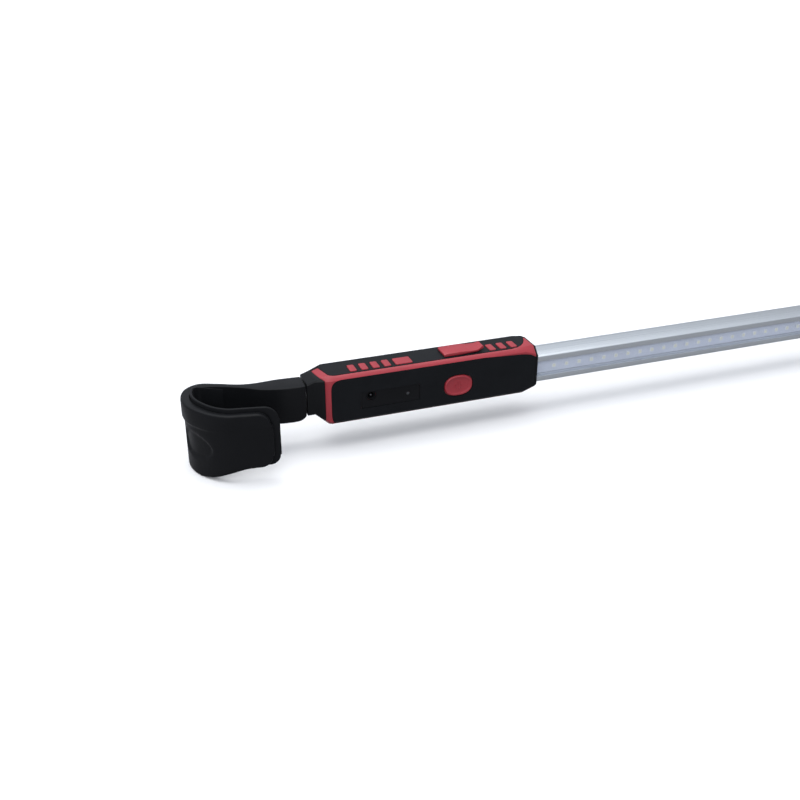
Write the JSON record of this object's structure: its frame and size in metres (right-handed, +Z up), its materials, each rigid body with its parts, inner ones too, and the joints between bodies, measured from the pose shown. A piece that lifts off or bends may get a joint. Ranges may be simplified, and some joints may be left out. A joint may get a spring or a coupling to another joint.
{
  "type": "under-bonnet work light",
  "caption": "Cordless LED work-light bar: battery handle, aluminium light bar and far end housing, with a lined swivel hook on a telescopic rod at each end.",
  "frame": {"origin": "middle of the whole light's bounding box, on the surface that the two hooks stand on", "axes": "+X along the bar from the battery handle to the far end, -Y the lit front with the lens and the power button, +Z up"},
  "size_m": [1.1478, 0.0706, 0.0682],
  "materials": {
    "red_plastic": "moulded satin red",
    "black_plastic": "fine satin black",
    "soft_grip": "soft-touch overmould",
    "liner_rubber": "matt rubber",
    "anodised_aluminium": "natural anodised extrusion",
    "steel": "bright plated steel",
    "clear_lens": "clear polycarbonate",
    "white_board": "white solder mask",
    "green_board": "green solder mask",
    "nylon": "natural nylon",
    "cell_wrap": "heat-shrink wrap"
  },
  "bodies": {
    "root": {"handle_casing_front": "red_plastic", "handle_casing_rear": "black_plastic", "handle_front_panel": "soft_grip", "handle_rear_panel": "soft_grip", "handle_top_panel": "soft_grip", "handle_bottom_panel": "soft_grip", "handle_bars_outer": "red_plastic", "handle_bars_inner": "red_plastic", "handle_bezel": "black_plastic", "handle_screw_1": "steel", "handle_screw_2": "steel", "handle_screw_3": "steel", "handle_screw_4": "steel", "handle_bar_screw": "steel", "end_casing_front": "red_plastic", "end_casing_rear": "black_plastic", "end_front_panel": "soft_grip", "end_rear_panel": "soft_grip", "end_top_panel": "soft_grip", "end_bottom_panel": "soft_grip", "end_bars": "red_plastic", "end_bezel": "black_plastic", "end_screw_1": "steel", "end_screw_2": "steel", "end_bar_screw": "steel", "left_collar": "black_plastic", "left_rod_bush": "nylon", "right_collar": "black_plastic", "right_rod_bush": "nylon", "bar_extrusion": "anodised_aluminium", "lens": "clear_lens", "led_board": "white_board", "port_plate": "black_plastic", "charge_jack": "black_plastic", "jack_pin": "steel", "charge_light": "clear_lens", "control_board": "green_board", "tact_switch": "black_plastic", "battery_pack": "cell_wrap", "lever_pin": "steel", "lever_spring": "steel"},
    "power_button": {"power_button": "red_plastic"},
    "lock_lever": {"lock_lever": "red_plastic", "lock_shoe": "steel"},
    "left_rod": {"left_rod": "steel", "left_rod_stop": "nylon", "left_swivel_ring": "liner_rubber"},
    "left_hook": {"left_hook_arm": "black_plastic", "left_hook_liner": "liner_rubber", "left_hook_screw": "steel"},
    "right_rod": {"right_rod": "steel", "right_rod_stop": "nylon", "right_swivel_ring": "liner_rubber"},
    "right_hook": {"right_hook_arm": "black_plastic", "right_hook_liner": "liner_rubber", "right_hook_screw": "steel"}
  },
  "joints": [
    {"name": "left_rod_slide", "type": "slide", "parent": "root", "child": "left_rod", "axis": [-1, 0, 0], "range_m": [0, 0.245]},
    {"name": "left_hook_swivel", "type": "hinge", "parent": "left_rod", "child": "left_hook", "pos_m": [-0.4883, 0.0113, 0.044], "axis": [-1, 0, 0], "continuous": true},
    {"name": "right_rod_slide", "type": "slide", "parent": "root", "child": "right_rod", "axis": [1, 0, 0], "range_m": [0, 0.245]},
    {"name": "right_hook_swivel", "type": "hinge", "parent": "right_rod", "child": "right_hook", "pos_m": [0.4883, 0.0113, 0.044], "axis": [1, 0, 0], "continuous": true},
    {"name": "power_button_press", "type": "slide", "parent": "root", "child": "power_button", "axis": [0, 1, 0], "range_m": [0, 0.001], "stiffness_N_per_m": 1200, "springref_m": -0.0005},
    {"name": "lock_lever_press", "type": "hinge", "parent": "root", "child": "lock_lever", "pos_m": [-0.3503, 0.0113, 0.0588], "axis": [0, 1, 0], "range_deg": [0, 3], "stiffness_Nm_per_rad": 0.5, "springref_deg": -5.73, "deforming": ["lever_spring"]}
  ]
}
